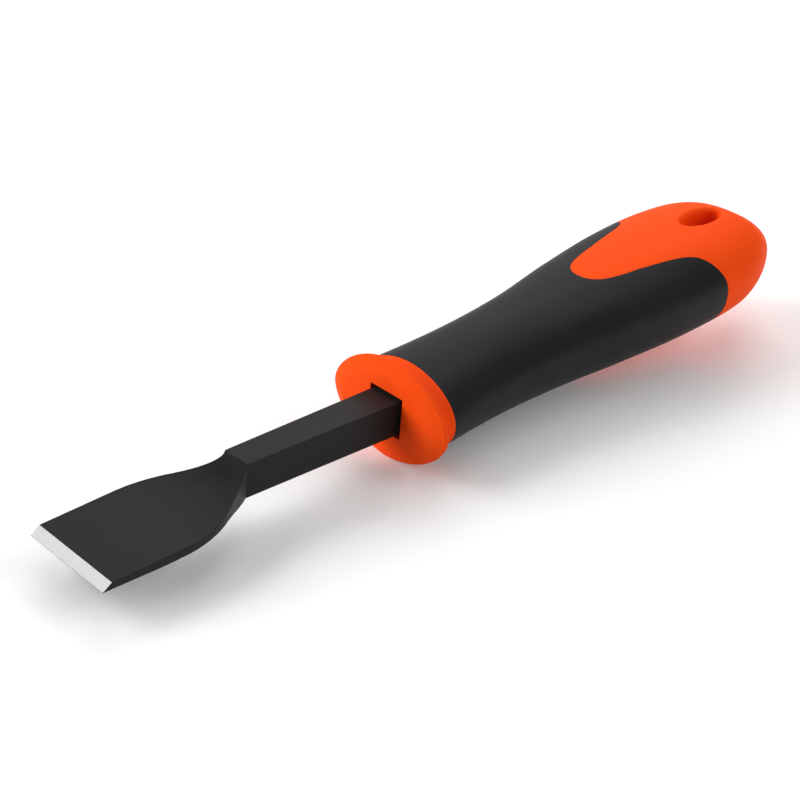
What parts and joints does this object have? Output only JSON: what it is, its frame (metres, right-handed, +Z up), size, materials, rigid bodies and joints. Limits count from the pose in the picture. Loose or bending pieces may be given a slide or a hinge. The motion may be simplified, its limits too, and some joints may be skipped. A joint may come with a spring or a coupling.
{
  "type": "hand chisel",
  "caption": "Hand chisel with a wide thin blade, one ground bevel, a square shank, an oval guard and a soft-grip handle with a hang hole.",
  "frame": {"origin": "centre of the overall box in X and Y, at the height of the guard's underside, the lowest point", "axes": "+X along the tool from the cutting edge to the butt, +Y across the blade, +Z up out of the bevelled face"},
  "size_m": [0.2256, 0.0402, 0.0321],
  "materials": {
    "blackened_steel": "matt black finish on forged steel, bare ground bevel",
    "orange_plastic": "fine moulded grain",
    "soft_grip": "matt soft grip"
  },
  "bodies": {
    "root": {"blade": "blackened_steel", "handle_core": "orange_plastic", "grip_sleeve": "soft_grip"}
  },
  "joints": []
}
